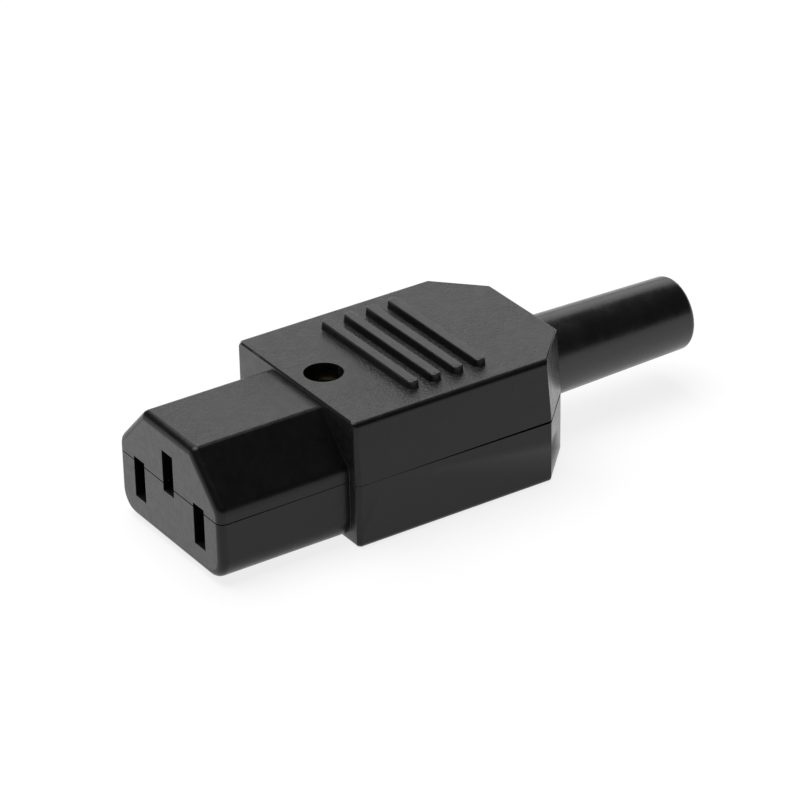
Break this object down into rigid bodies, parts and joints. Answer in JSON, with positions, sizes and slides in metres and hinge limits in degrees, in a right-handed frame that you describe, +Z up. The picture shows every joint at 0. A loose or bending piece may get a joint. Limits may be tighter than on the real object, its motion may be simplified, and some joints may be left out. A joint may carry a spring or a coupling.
{
  "type": "rewirable c13 power connector",
  "caption": "Rewirable C13 appliance connector: keyed nose with pin slots, ribbed two-part housing, sunk screw and flexible cord sleeve.",
  "frame": {"origin": "middle of the footprint on the flat underside of the body", "axes": "+X across the width, to the right seen from the contact face, +Y from the contact face to the cord outlet, +Z up through the ribbed top"},
  "size_m": [0.0274, 0.076, 0.0183],
  "materials": {
    "shell_plastic": "fine spark-eroded texture",
    "clamp_plastic": "plain moulded",
    "sleeve_rubber": "smooth and matt",
    "contact_brass": "stamped and folded",
    "plated_steel": "bright zinc plate",
    "gilt_steel": "yellow zinc plate"
  },
  "bodies": {
    "root": {"upper_shell": "shell_plastic", "lower_shell": "shell_plastic", "housing_screw": "gilt_steel", "line_contact": "contact_brass", "neutral_contact": "contact_brass", "earth_contact": "contact_brass", "line_wire_clamp": "plated_steel", "neutral_wire_clamp": "plated_steel", "earth_wire_clamp": "plated_steel", "line_terminal_screw": "plated_steel", "neutral_terminal_screw": "plated_steel", "earth_terminal_screw": "plated_steel", "cord_clamp": "clamp_plastic", "clamp_screw_left": "plated_steel", "clamp_screw_right": "plated_steel", "cord_sleeve": "sleeve_rubber"}
  },
  "joints": []
}
